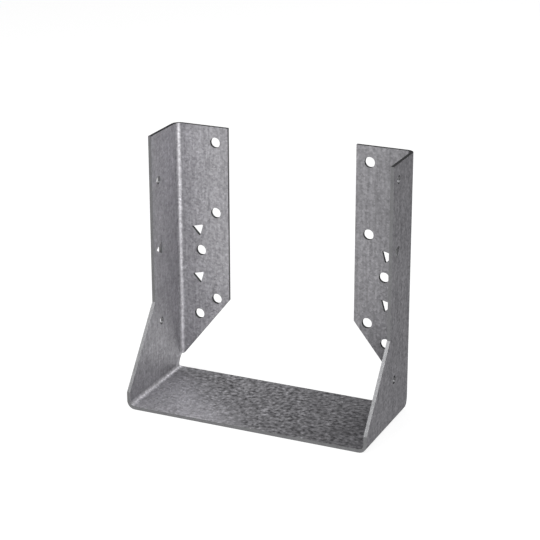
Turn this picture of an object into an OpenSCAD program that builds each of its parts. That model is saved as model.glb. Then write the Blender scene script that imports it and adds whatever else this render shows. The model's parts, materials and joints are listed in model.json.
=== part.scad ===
// Joist hanger with concealed flanges, folded from one sheet of galvanised steel.
// A seat carries the timber, two side plates hold it, and behind the timber each plate turns
// inwards into a flange that is nailed to the header.
// +X runs across the timber, +Y points into the header and +Z is up. The origin is in the
// middle of the footprint, on the underside of the seat.

/* [Sheet] */
// Thickness of the steel sheet
sheet_t = 1.9; // [1.2:0.1:3.2]
// Inside radius of every fold
fold_r = 2.8; // [1:0.1:4]

/* [Timber pocket] */
// Clear width between the side plates
pocket_w = 139.7; // [110:0.1:200]
// Height of the side plates above the seat
pocket_h = 147.6; // [125:0.1:220]
// Length of the pocket, from the seat's front edge to the flanges
seat_l = 63.5; // [50:0.1:90]
// How far in front of the flanges the seat ends
seat_gap = 1.6; // [0:0.1:2.5]

/* [Side plates] */
// Depth of the narrow upper part of a side plate, from the header
plate_d = 32.9; // [30:0.1:45]
// Height at which the front edge starts to slope out to the seat
slope_top_z = 52.4; // [25:0.1:80]
// Height at which the slope ends, above a short upright edge
slope_foot_z = 9.8; // [7.5:0.1:15]

/* [Flanges] */
// Width of a flange, from the inner face of its side plate to its free edge
flange_w = 31.4; // [26:0.1:48]
// Height of the corner where the free edge ends and the chamfer starts
chamfer_top_z = 47.4; // [38:0.1:54]
// Height at which the chamfer would reach the inner face of the side plate
chamfer_foot_z = 7.6; // [6:0.1:9.5]

/* [Corner reliefs] */
// How far the tip of a relief lies in front of the flange's fold
relief_gap = 0.7; // [0.2:0.1:2]
// Height of the tip of a relief, on the seat's fold
relief_tip_z = 3.1; // [2.4:0.1:4]
// Slope of the upper edge of a relief, in degrees
relief_angle = 68; // [60:1:80]
// Height of the flat top of a relief, where the flange's chamfer begins
relief_top_z = 9.8; // [9.6:0.1:11]

/* [Header nail holes] */
// Diameter of a round header hole
header_hole_d = 6; // [3:0.1:7]
// Outer column of holes, from the free edge of the flange
outer_col = 7.8; // [5:0.1:10]
// Inner column of holes, from the inner face of the side plate
inner_col = 12.4; // [11:0.1:14]
// How much nearer to the free edge the middle hole of the inner column is
middle_shift = 1.6; // [0:0.1:3]
// Top hole of the outer column, below the top edge
top_hole_drop = 9.1; // [6:0.1:20]
// Second hole of the outer column, below the top edge
second_hole_drop = 50.3; // [35:0.1:54]
// Height of the lowest hole of the outer column
low_outer_z = 47.2; // [44:0.1:56]
// Height of the middle hole of the inner column
middle_inner_z = 75.6; // [73:0.1:77]
// Height of the lowest hole of the inner column
low_inner_z = 36.4; // [35:0.1:45]
// Height of the upper triangular hole
upper_triangle_z = 88.2; // [86:0.1:95]
// Height of the lower triangular hole
lower_triangle_z = 59.5; // [55:0.1:64]

/* [Joist nail holes] */
// Diameter of a round joist hole
joist_hole_d = 4.6; // [3:0.1:6]
// Line of the joist holes, from the header
joist_hole_y = 25.4; // [22:0.1:26]
// Upper hole of the left plate, below the top edge
left_high_drop = 27.2; // [8:0.1:45]
// Triangular hole of the left plate, below the top edge
left_triangle_drop = 67.3; // [60:0.1:75]
// Height of the lower hole of the left plate
left_low_z = 38.5; // [30:0.1:44]
// Upper hole of the right plate, below the top edge
right_high_drop = 8.9; // [6:0.1:30]
// Triangular hole of the right plate, below the top edge
right_triangle_drop = 48.7; // [40:0.1:65]
// Height of the lower hole of the right plate
right_low_z = 26.9; // [18:0.1:40]

/* [Triangular holes] */
// Side of a triangular hole, measured to its sharp corners
triangle_side = 7.4; // [4:0.1:8]
// Radius of its corners
triangle_corner_r = 0.4; // [0.1:0.1:0.9]
// Turn of the triangles in the left flange, the right flange mirrors it
flange_triangle_turn = 44; // [0:1:119]
// Turn of the triangle in the left plate
left_triangle_turn = 58; // [0:1:119]
// Turn of the triangle in the right plate
right_triangle_turn = 37; // [0:1:119]

/* [Hidden] */
$fn = 64;
// How far a cutting shape runs past the sheet it cuts
past = 1;
outer_r = fold_r + sheet_t;
full_h = sheet_t + pocket_h;
full_d = sheet_t + seat_l;
// Faces and tangent lines of the right half, the left half is its mirror image
inner_x = pocket_w / 2;
outer_x = inner_x + sheet_t;
fold_x = inner_x - fold_r;
flange_x = inner_x - flange_w;
header_y = full_d / 2;
flange_y = header_y - sheet_t;
fold_y = flange_y - fold_r;
seat_y = flange_y - seat_gap;
relief_y = fold_y - relief_gap;
front_y = -full_d / 2;
slope_y = header_y - plate_d;
fold_z = outer_r;
hole_line_y = header_y - joist_hole_y;
chamfer_fall = (chamfer_top_z - chamfer_foot_z) / flange_w;
// Where the chamfer meets the flat top of the relief
chamfer_end_x = flange_x + (chamfer_top_z - relief_top_z) / chamfer_fall;

module both_sides() {
  children();
  mirror([1, 0, 0]) children();
}

// Extrudes a flat shape along Y, with its own x across and its own y upwards
module along_y(from_y, to_y) {
  translate([0, to_y, 0]) rotate([90, 0, 0]) linear_extrude(to_y - from_y) children();
}

// Extrudes a flat shape along X, with its own x towards the header and its own y upwards
module along_x(from_x, to_x) {
  translate([from_x, 0, 0]) rotate([90, 0, 90]) linear_extrude(to_x - from_x) children();
}

// A fold seen end on, a quarter ring between +x and +y
module fold_section() {
  difference() {
    intersection() {
      circle(r = outer_r);
      square(outer_r);
    }
    circle(r = fold_r);
  }
}

// The right plate, its fold and its flange, seen from above
module side_section() {
  translate([inner_x, front_y]) square([sheet_t, fold_y - front_y]);
  translate([fold_x, fold_y]) fold_section();
  translate([flange_x, flange_y]) square([fold_x - flange_x, sheet_t]);
}

// The seat with the folds at both ends, seen from the front
module seat_section() {
  translate([-fold_x, 0]) square([2 * fold_x, sheet_t]);
  for (side = [0, 1]) {
    mirror([side, 0]) translate([fold_x, fold_z]) mirror([0, 1]) fold_section();
  }
}

// What is cut away in front of a side plate, seen from the side
module front_cut() {
  polygon([
    [front_y - past, slope_foot_z],
    [front_y, slope_foot_z],
    [slope_y, slope_top_z],
    [slope_y, full_h + past],
    [front_y - past, full_h + past]
  ]);
}

// The notch between the seat's fold and the flange's, and what lies behind the seat, seen from the side
module relief_cut() {
  back = header_y + past;
  run = (relief_top_z - relief_tip_z) / tan(relief_angle);
  polygon([
    [relief_y, relief_tip_z],
    [relief_y + run, relief_top_z],
    [back, relief_top_z],
    [back, -past],
    [seat_y, -past],
    [seat_y, sheet_t]
  ]);
}

// What is cut away under the right flange, seen from the front
module chamfer_cut() {
  near = flange_x - past;
  polygon([
    [near, chamfer_top_z + chamfer_fall * past],
    [chamfer_end_x, relief_top_z],
    [chamfer_end_x, fold_z],
    [near, fold_z]
  ]);
}

// A triangle with round corners about its centre, one corner at the angle turn
module triangle(turn) {
  reach = triangle_side / sqrt(3) - 2 * triangle_corner_r;
  corners = [for (i = [0:2]) turn + 120 * i];
  polygon([for (a = corners, b = [-60:20:60])
    reach * [cos(a), sin(a)] + triangle_corner_r * [cos(a + b), sin(a + b)]]);
}

module round_at(across, up, d) {
  translate([across, up]) circle(d = d);
}

module triangle_at(across, up, turn) {
  translate([across, up]) triangle(turn);
}

// The nail holes of the left flange, seen from the front
module header_holes() {
  outer = -flange_x - outer_col;
  inner = -inner_x + inner_col;
  round_at(outer, full_h - top_hole_drop, header_hole_d);
  round_at(outer, full_h - second_hole_drop, header_hole_d);
  round_at(outer, low_outer_z, header_hole_d);
  round_at(inner + middle_shift, middle_inner_z, header_hole_d);
  round_at(inner, low_inner_z, header_hole_d);
  triangle_at(inner, upper_triangle_z, flange_triangle_turn);
  triangle_at(inner, lower_triangle_z, flange_triangle_turn);
}

// The nail holes of one side plate, staggered so that nails from both sides miss each other
module joist_holes(high_z, triangle_z, low_z, turn) {
  round_at(hole_line_y, high_z, joist_hole_d);
  triangle_at(hole_line_y, triangle_z, turn);
  round_at(hole_line_y, low_z, joist_hole_d);
}

module folded_sheet() {
  along_y(front_y, header_y) seat_section();
  both_sides() translate([0, 0, fold_z]) linear_extrude(full_h - fold_z) side_section();
}

module hanger() {
  color("silver") difference() {
    folded_sheet();
    along_x(-outer_x - past, outer_x + past) front_cut();
    along_x(-outer_x - past, outer_x + past) relief_cut();
    both_sides() along_y(fold_y, header_y + past) chamfer_cut();
    both_sides() along_y(flange_y - past, header_y + past) header_holes();
    along_x(-outer_x - past, -inner_x + past)
      joist_holes(full_h - left_high_drop, full_h - left_triangle_drop, left_low_z, left_triangle_turn);
    along_x(inner_x - past, outer_x + past)
      joist_holes(full_h - right_high_drop, full_h - right_triangle_drop, right_low_z, right_triangle_turn);
  }
}

hanger();
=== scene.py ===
"""The looks of a folded joist hanger: galvanised sheet with bare cut edges, on a white floor."""
import json
import math

import bmesh
import bpy
from mathutils import Matrix, Vector
from mathutils.bvhtree import BVHTree


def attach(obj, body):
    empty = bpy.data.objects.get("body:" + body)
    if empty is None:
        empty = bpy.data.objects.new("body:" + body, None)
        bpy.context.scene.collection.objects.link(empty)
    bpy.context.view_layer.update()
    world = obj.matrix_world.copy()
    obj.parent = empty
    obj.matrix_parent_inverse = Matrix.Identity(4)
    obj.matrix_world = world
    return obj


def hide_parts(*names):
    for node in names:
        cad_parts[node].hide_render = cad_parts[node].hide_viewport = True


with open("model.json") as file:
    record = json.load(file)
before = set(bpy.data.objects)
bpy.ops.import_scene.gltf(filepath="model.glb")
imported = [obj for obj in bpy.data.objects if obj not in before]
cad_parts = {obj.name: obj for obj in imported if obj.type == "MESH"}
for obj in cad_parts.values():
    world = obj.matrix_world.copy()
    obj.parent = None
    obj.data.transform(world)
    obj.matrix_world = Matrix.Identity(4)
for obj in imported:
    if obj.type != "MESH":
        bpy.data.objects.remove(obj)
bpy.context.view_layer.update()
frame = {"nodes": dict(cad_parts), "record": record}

# Lengths are in metres and angles in degrees, unless a name says otherwise. A noise's scale is
# in lumps to the metre, and a reach is how far a factor of 1 is moved up and down.

# The sheet: what comes from the frame, and how its mesh is cleaned and rounded
MOUNTS = {mount["name"]: mount for mount in frame["record"]["mounts"]}
SHEET_T = MOUNTS["seat"]["pos_m"][2]
HEADER_Y = MOUNTS["header_face"]["pos_m"][1]
WELD = 1e-6
MERGE_ANGLE = 0.5
SMOOTH_ANGLE = 30
EDGE_ROUNDING = 0.00018
ROUNDING_STEPS = 2

# How its faces are told apart: a cut has more metal straight behind it than this many
# thicknesses, and the wall of a header hole has another wall this near in front of it
CUT_THICKNESSES = 1.25
HOLE_REACH = 0.008
ZINC, SHEARED, PUNCHED = 0, 1, 2

# The metals, and the tint that all of them take on seen edge on
ZINC_COLOUR = (0.408, 0.402, 0.421)
ZINC_ROUGHNESS = 0.5
CUT_COLOUR = (0.185, 0.185, 0.19)
CUT_ROUGHNESS = 0.38
# The walls of the header holes are darker: painted shade, for the dark they mirror inside the holes
HOLE_PAINTED_SHADE_COLOUR = (0.08, 0.08, 0.082)
HOLE_ROUGHNESS = 0.6
METAL_EDGE_TINT = (0.12, 0.12, 0.12, 1)

# The noises, plain or with finer lumps in them
PLAIN_DETAIL = 2.0
FINE_DETAIL = 3.0

# The zinc's crystals: a noise bends their outlines, and each has its own tone, gloss and lean
SPANGLE_SCALE = 1000.0
SPANGLE_BEND_SCALE = 900.0
SPANGLE_BEND = 0.0009
SPANGLE_TONE_REACH = 0.16
SPANGLE_GLOSS_REACH = 0.15
SPANGLE_LEAN = 0.09

# The zinc's ripples, and its clouds and upright grain as scale, stretch and reach
RIPPLE_SCALE = 420.0
RIPPLE_HEIGHT = 0.0001
TONE_NOISES = [
    (40.0, (1, 1, 1), 0.12),
    (420.0, (1, 1, 1), 0.3),
    (800.0, (1, 1, 0.08), 0.3),
]
DARKEST_TONE = 0.35

# The zinc is darkened from left to right with painted shade, between these two places, down to this
# tone
PAINTED_SHADE_FROM = -0.06
PAINTED_SHADE_FULL = 0.06
PAINTED_SHADE_TONE = 0.68

# Level faces are stained in patches, except for a lighter corner at the front left, a painted
# highlight that stands for a reflection and has no stains: the highlight fades and the stains set
# in along this direction, between these two distances from the origin
SEAT_STAIN_SCALE = 430.0
SEAT_STAIN_REACH = 1.35
SEAT_PATCH_SCALE = 70.0
SEAT_PATCH_REACH = 1.0
SEAT_HIGHLIGHT_EDGE_LINE = (0.669, 0.743, 0)
SEAT_HIGHLIGHT_EDGE_FROM = -0.0425
SEAT_HIGHLIGHT_EDGE_FULL = -0.0125
SEAT_PAINTED_HIGHLIGHT_LIFT = 0.7

# The cuts are torn by the shears and unevenly worn
TEAR_SCALE = 2200.0
TEAR_TONE_REACH = 0.25
TEAR_GLOSS_REACH = 0.2
TEAR_STRENGTH = 0.5
TEAR_HEIGHT = 0.0001
CUT_WEAR_SCALE = 300.0
CUT_WEAR_REACH = 0.2

# The camera stands where the photograph was taken from
CAMERA_PLACE = (0.37947, -0.83857, 0.42145)
CAMERA_AZIMUTH = 24.279
CAMERA_ELEVATION = 20.235
CAMERA_ROLL = -0.103
CAMERA_LENS_MM = 120.14
SENSOR_MM = 36

# The lamps as azimuth, elevation, distance, size and radiance, round a point at this height
LAMP_AIM_Z = 0.07
LAMPS = {
    "key": (306, 9, 1.5, 0.75, 8.8),
    "right": (345, 10, 1.4, 0.7, 3.4),
    "high_left": (238, 54, 1.2, 0.6, 5.0),
    "back_right": (72, 32, 1.3, 0.5, 3.0),
    "top": (100, 72, 1.3, 0.7, 1.5),
}

# The world's light, and the floor with what is added to it where it is seen
WORLD_GREY = 0.42
FLOOR_SIZE = 60
FLOOR_GAP = 0.0001
FLOOR_COLOUR = (0.3, 0.3, 0.3, 1)
FLOOR_LIFT = 0.79


def node(tree, kind, inputs=None, **settings):
    """Adds a shader node. Each input, by name or number, is a constant or another node's output."""
    made = tree.nodes.new(kind)
    for name, value in settings.items():
        setattr(made, name, value)
    for name, value in (inputs or {}).items():
        if isinstance(value, bpy.types.NodeSocket):
            tree.links.new(value, made.inputs[name])
        else:
            made.inputs[name].default_value = value
    return made


def scalar(tree, operation, first, second=0.0):
    """A sum, difference or the like of two numbers."""
    made = node(tree, "ShaderNodeMath", {0: first, 1: second}, operation=operation)
    return made.outputs["Value"]


def vector(tree, operation, inputs):
    """A sum, multiple or the like of vectors."""
    return node(tree, "ShaderNodeVectorMath", inputs, operation=operation).outputs["Vector"]


def product(tree, first, *others):
    for other in others:
        first = scalar(tree, "MULTIPLY", first, other)
    return first


def spread(tree, value, reach):
    """Turns a value around 0.5 into a factor around 1 that reaches this far both ways."""
    centred = scalar(tree, "SUBTRACT", value, 0.5)
    return scalar(tree, "ADD", product(tree, centred, product(tree, reach, 2.0)), 1.0)


def soft_step(tree, value, start, end, low=0.0, high=1.0):
    """Goes from low to high while the value goes from start to end."""
    limits = {"From Min": start, "From Max": end, "To Min": low, "To Max": high}
    made = node(tree, "ShaderNodeMapRange", {"Value": value, **limits},
                interpolation_type="SMOOTHSTEP")
    return made.outputs["Result"]


def noise(tree, place, scale, stretch=(1, 1, 1), detail=PLAIN_DETAIL):
    """Cloudy noise, drawn out along the axes with a small stretch."""
    drawn = vector(tree, "MULTIPLY", {0: place, 1: stretch})
    made = node(tree, "ShaderNodeTexNoise", {"Vector": drawn, "Scale": scale, "Detail": detail})
    return made.outputs["Fac"]


def bump(tree, height, strength, distance):
    made = node(tree, "ShaderNodeBump",
                {"Strength": strength, "Distance": distance, "Height": height})
    return made.outputs["Normal"]


def new_material(name):
    material = bpy.data.materials.new(name)
    material.use_nodes = True
    material.node_tree.nodes.clear()
    return material, material.node_tree


def surface(tree, shader):
    node(tree, "ShaderNodeOutputMaterial", {"Surface": shader.outputs[0]})


def metal(tree, colour, tone, roughness, normal):
    """The surface of a metal with one colour, scaled by its tone."""
    tint = vector(tree, "SCALE", {0: colour, "Scale": tone})
    surface(tree, node(tree, "ShaderNodeBsdfPrincipled", {
        "Metallic": 1.0, "Specular Tint": METAL_EDGE_TINT,
        "Base Color": tint, "Roughness": roughness, "Normal": normal}))


def crystal_colours(tree, place):
    """A random colour for each of the small crystals of the zinc."""
    warp = node(tree, "ShaderNodeTexNoise",
                {"Vector": place, "Scale": SPANGLE_BEND_SCALE, "Detail": PLAIN_DETAIL})
    bend = vector(tree, "SCALE", {0: warp.outputs["Color"], "Scale": SPANGLE_BEND})
    bent = vector(tree, "ADD", {0: place, 1: bend})
    cells = node(tree, "ShaderNodeTexVoronoi", {"Vector": bent, "Scale": SPANGLE_SCALE})
    return cells.outputs["Color"]


def zinc_tone(tree, place, grain):
    """How light the zinc is: crystals, clouds and grain, painted shade to the right, the seat's
    stains, and a painted highlight at its front left.
    """
    tone = spread(tree, grain, SPANGLE_TONE_REACH)
    for scale, stretch, reach in TONE_NOISES:
        tone = product(tree, tone, spread(tree, noise(tree, place, scale, stretch), reach))
    across = node(tree, "ShaderNodeSeparateXYZ", {0: place}).outputs["X"]
    # Painted shade: the zinc darkens towards the right
    tone = product(tree, tone, soft_step(tree, across, PAINTED_SHADE_FROM, PAINTED_SHADE_FULL, 1.0, PAINTED_SHADE_TONE))

    normal = node(tree, "ShaderNodeTexCoord").outputs["Normal"]
    upward = node(tree, "ShaderNodeSeparateXYZ", {0: normal}).outputs["Z"]
    level = scalar(tree, "ABSOLUTE", upward)
    slant = node(tree, "ShaderNodeVectorMath", {0: place, 1: SEAT_HIGHLIGHT_EDGE_LINE},
                 operation="DOT_PRODUCT").outputs["Value"]
    beyond_highlight = soft_step(tree, slant, SEAT_HIGHLIGHT_EDGE_FROM, SEAT_HIGHLIGHT_EDGE_FULL)
    # Painted highlight: level faces are lighter in the front left corner, standing for a reflection
    painted_highlight = product(tree, level, scalar(tree, "SUBTRACT", 1.0, beyond_highlight), SEAT_PAINTED_HIGHLIGHT_LIFT)
    tone = product(tree, tone, scalar(tree, "ADD", 1.0, painted_highlight))

    patches = spread(tree, noise(tree, place, SEAT_PATCH_SCALE), SEAT_PATCH_REACH)
    reach = product(tree, level, beyond_highlight, patches, SEAT_STAIN_REACH)
    stains = noise(tree, place, SEAT_STAIN_SCALE, detail=FINE_DETAIL)
    tone = product(tree, tone, spread(tree, stains, reach))
    return scalar(tree, "MAXIMUM", tone, DARKEST_TONE)


def zinc_normal(tree, place, crystals):
    """Which way the zinc faces: rippled, with a lean of its own for each crystal."""
    facet = vector(tree, "SUBTRACT", {0: crystals, 1: (0.5, 0.5, 0.5)})
    lean = vector(tree, "SCALE", {0: facet, "Scale": SPANGLE_LEAN})
    ripple = bump(tree, noise(tree, place, RIPPLE_SCALE, detail=FINE_DETAIL), 1.0, RIPPLE_HEIGHT)
    return vector(tree, "NORMALIZE", {0: vector(tree, "ADD", {0: ripple, 1: lean})})


def galvanised_material():
    """Zinc with a fine spangle: small crystals that each mirror the light a little differently."""
    material, tree = new_material("galvanised")
    place = node(tree, "ShaderNodeTexCoord").outputs["Object"]
    crystals = crystal_colours(tree, place)
    grain = node(tree, "ShaderNodeSeparateColor", {"Color": crystals})
    tone = zinc_tone(tree, place, grain.outputs["Red"])
    gloss = spread(tree, grain.outputs["Green"], SPANGLE_GLOSS_REACH)
    metal(tree, ZINC_COLOUR, tone, product(tree, gloss, ZINC_ROUGHNESS),
          zinc_normal(tree, place, crystals))
    return material


def cut_material(name, colour, roughness):
    """Bare steel where the sheet was cut, dull and torn across its thickness."""
    material, tree = new_material(name)
    place = node(tree, "ShaderNodeTexCoord").outputs["Object"]
    tearing = noise(tree, place, TEAR_SCALE, detail=FINE_DETAIL)
    wear = noise(tree, place, CUT_WEAR_SCALE)
    tone = product(tree, spread(tree, tearing, TEAR_TONE_REACH),
                   spread(tree, wear, CUT_WEAR_REACH))
    gloss = spread(tree, tearing, TEAR_GLOSS_REACH)
    metal(tree, colour, tone, product(tree, gloss, roughness),
          bump(tree, tearing, TEAR_STRENGTH, TEAR_HEIGHT))
    return material


def floor_material():
    """A pale floor that keeps the shadow, and is lifted to white where it is seen or mirrored."""
    material, tree = new_material("floor")
    paint = node(tree, "ShaderNodeBsdfDiffuse", {"Color": FLOOR_COLOUR})
    path = node(tree, "ShaderNodeLightPath").outputs
    seen = scalar(tree, "MAXIMUM", path["Is Camera Ray"], path["Is Glossy Ray"])
    seen = scalar(tree, "MAXIMUM", seen, path["Is Transmission Ray"])
    lift = node(tree, "ShaderNodeEmission", {"Strength": product(tree, seen, FLOOR_LIFT)})
    surface(tree, node(tree, "ShaderNodeAddShader", {0: paint.outputs[0], 1: lift.outputs[0]}))
    return material


def is_cut(tree, face):
    """True for a face made by the shears, with more metal behind it than the sheet is thick."""
    start = face.calc_center_median() - face.normal * WELD
    distance = tree.ray_cast(start, -face.normal)[3]
    return distance is None or distance > CUT_THICKNESSES * SHEET_T


def is_header_hole(tree, face):
    """True for a cut face in a flange that looks at another wall of the same nail hole."""
    start = face.calc_center_median() + face.normal * WELD
    distance = tree.ray_cast(start, face.normal)[3]
    return start.y > HEADER_Y - SHEET_T and distance is not None and distance < HOLE_REACH


def clean_mesh(source):
    """A copy with welded seams, a material for each kind of face, and marked edges of the cuts."""
    bm = bmesh.new()
    bm.from_mesh(source)
    bmesh.ops.remove_doubles(bm, verts=bm.verts, dist=WELD)
    bm.normal_update()
    tree = BVHTree.FromBMesh(bm)
    for face in bm.faces:
        if is_cut(tree, face):
            face.material_index = PUNCHED if is_header_hole(tree, face) else SHEARED
    bmesh.ops.dissolve_limit(bm, verts=bm.verts, edges=bm.edges,
                             angle_limit=math.radians(MERGE_ANGLE),
                             use_dissolve_boundaries=False, delimit={"MATERIAL"})
    bm.normal_update()
    weight = bm.edges.layers.float.new("bevel_weight_edge")
    for edge in bm.edges:
        kinds = {face.material_index > ZINC for face in edge.link_faces}
        edge[weight] = float(len(kinds) == 2)

    drawn = bpy.data.meshes.new("hanger_sheet")
    bm.to_mesh(drawn)
    bm.free()
    drawn.attributes.remove(drawn.attributes["custom_normal"])
    drawn.shade_smooth()
    drawn.set_sharp_from_angle(angle=math.radians(SMOOTH_ANGLE))
    return drawn


def place_object(name, data):
    made = bpy.data.objects.new(name, data)
    bpy.context.scene.collection.objects.link(made)
    return made


def make_sheet():
    """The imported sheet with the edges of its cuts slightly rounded, in zinc and bare steel."""
    drawn = clean_mesh(frame["nodes"]["hanger"].data)
    drawn.materials.append(galvanised_material())
    drawn.materials.append(cut_material("sheared_edge", CUT_COLOUR, CUT_ROUGHNESS))
    # The walls of the header holes get the darker colour of painted shade
    drawn.materials.append(cut_material("punched_edge_painted_shade", HOLE_PAINTED_SHADE_COLOUR, HOLE_ROUGHNESS))
    piece = place_object("hanger_sheet", drawn)
    rounding = piece.modifiers.new("rounding", "BEVEL")
    rounding.limit_method = "WEIGHT"
    rounding.width = EDGE_ROUNDING
    rounding.segments = ROUNDING_STEPS
    rounding.harden_normals = True
    rounding.material = ZINC
    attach(piece, "root")
    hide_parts("hanger")


def make_camera():
    data = bpy.data.cameras.new("camera")
    data.lens = CAMERA_LENS_MM
    data.sensor_width = SENSOR_MM
    camera = place_object("camera", data)
    camera.location = CAMERA_PLACE
    turn = Matrix.Rotation(math.radians(CAMERA_AZIMUTH), 3, "Z")
    tilt = Matrix.Rotation(math.radians(90 - CAMERA_ELEVATION), 3, "X")
    roll = Matrix.Rotation(math.radians(CAMERA_ROLL), 3, "Z")
    camera.rotation_euler = (turn @ tilt @ roll).to_euler()
    bpy.context.scene.camera = camera


def make_floor():
    half = FLOOR_SIZE / 2
    mesh = bpy.data.meshes.new("floor")
    corners = [(-half, -half, 0), (half, -half, 0), (half, half, 0), (-half, half, 0)]
    mesh.from_pydata(corners, [], [(0, 1, 2, 3)])
    mesh.materials.append(floor_material())
    floor = place_object("floor", mesh)
    floor.location.z = -FLOOR_GAP


def make_world():
    world = bpy.data.worlds.new("studio")
    world.use_nodes = True
    bpy.context.scene.world = world
    light = world.node_tree.nodes["Background"]
    light.inputs["Color"].default_value = (WORLD_GREY, WORLD_GREY, WORLD_GREY, 1)


def make_lamps():
    """Square softboxes, as bright per area as given, that all face the hanger."""
    aim = Vector((0, 0, LAMP_AIM_Z))
    for name, (azimuth, elevation, distance, size, radiance) in LAMPS.items():
        data = bpy.data.lights.new(name, "AREA")
        data.shape = "SQUARE"
        data.size = size
        data.energy = math.pi * size ** 2 * radiance
        around, up = math.radians(azimuth), math.radians(elevation)
        toward = Vector((math.cos(around) * math.cos(up), math.sin(around) * math.cos(up),
                         math.sin(up)))
        lamp = place_object(name, data)
        lamp.location = aim + distance * toward
        lamp.rotation_euler = (-toward).to_track_quat("-Z", "Y").to_euler()
        lamp.visible_camera = False


make_sheet()
make_camera()
make_floor()
make_world()
make_lamps()
bpy.context.scene.view_settings.view_transform = "Standard"
